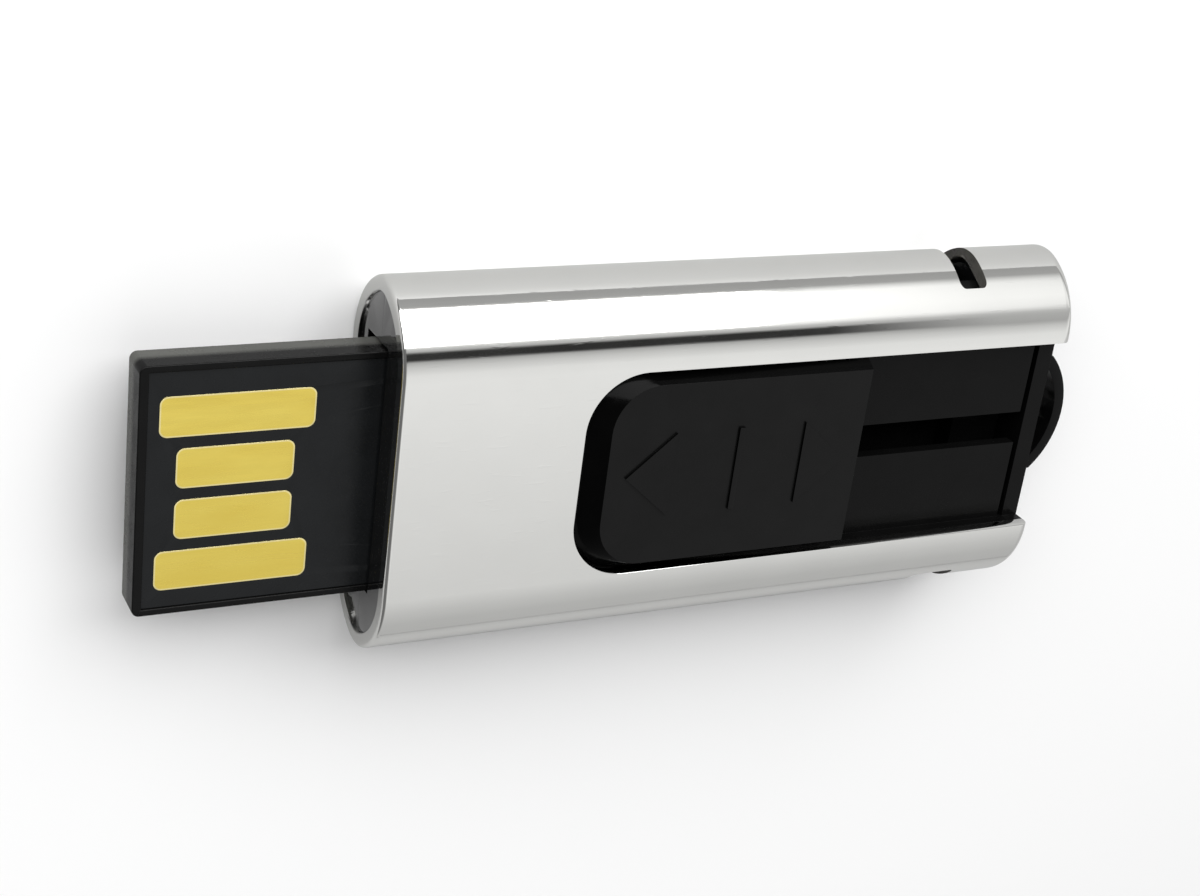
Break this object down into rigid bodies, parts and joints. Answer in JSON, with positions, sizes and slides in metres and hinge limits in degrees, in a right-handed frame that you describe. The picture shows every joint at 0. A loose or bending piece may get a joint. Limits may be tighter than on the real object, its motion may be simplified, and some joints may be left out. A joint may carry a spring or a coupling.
{
  "type": "usb flash drive",
  "caption": "Flat oval polished-metal flash drive whose thumb slider pushes a USB contact tab out of the mouth and draws it back in.",
  "frame": {"origin": "middle of the drive's whole length with the tab run out, middle of its width, on the back face that it lies on", "axes": "+Z out of the slider face, -X towards the tip of the USB tab, +Y towards the long edge with the narrow lanyard notch"},
  "size_m": [0.0498, 0.0184, 0.0068],
  "materials": {
    "chrome_shell": "mirror polished",
    "black_gloss_plastic": "glossy moulded",
    "black_satin_plastic": "satin moulded",
    "button_plastic": "satin moulded",
    "spring_steel": "rolled strip",
    "adhesive_tape": "tacky film",
    "solder_mask": "smooth lacquer",
    "mould_compound": "fine matt",
    "silicon": "polished",
    "chip_ceramic": "fired",
    "chip_resistor": "fired",
    "gold_contact": "brushed gold plate"
  },
  "bodies": {
    "housing": {"metal_shell": "chrome_shell", "frame_lower": "black_gloss_plastic", "frame_upper": "black_gloss_plastic", "detent_spring_left": "spring_steel", "detent_spring_right": "spring_steel", "rear_cap": "black_gloss_plastic"},
    "carriage": {"connector_tray": "black_satin_plastic", "tray_cover": "black_satin_plastic", "slider_button": "button_plastic", "module_tape": "adhesive_tape", "module_substrate": "solder_mask", "module_mould": "mould_compound", "flash_die_upper": "silicon", "flash_die_lower": "silicon", "controller_die": "silicon", "oscillator": "spring_steel", "capacitors": "chip_ceramic", "resistors": "chip_resistor", "contact_pad_1": "gold_contact", "contact_pad_2": "gold_contact", "contact_pad_3": "gold_contact", "contact_pad_4": "gold_contact"}
  },
  "joints": [
    {"name": "tab_slide", "type": "slide", "parent": "housing", "child": "carriage", "axis": [1, 0, 0], "range_m": [0, 0.0108]}
  ]
}
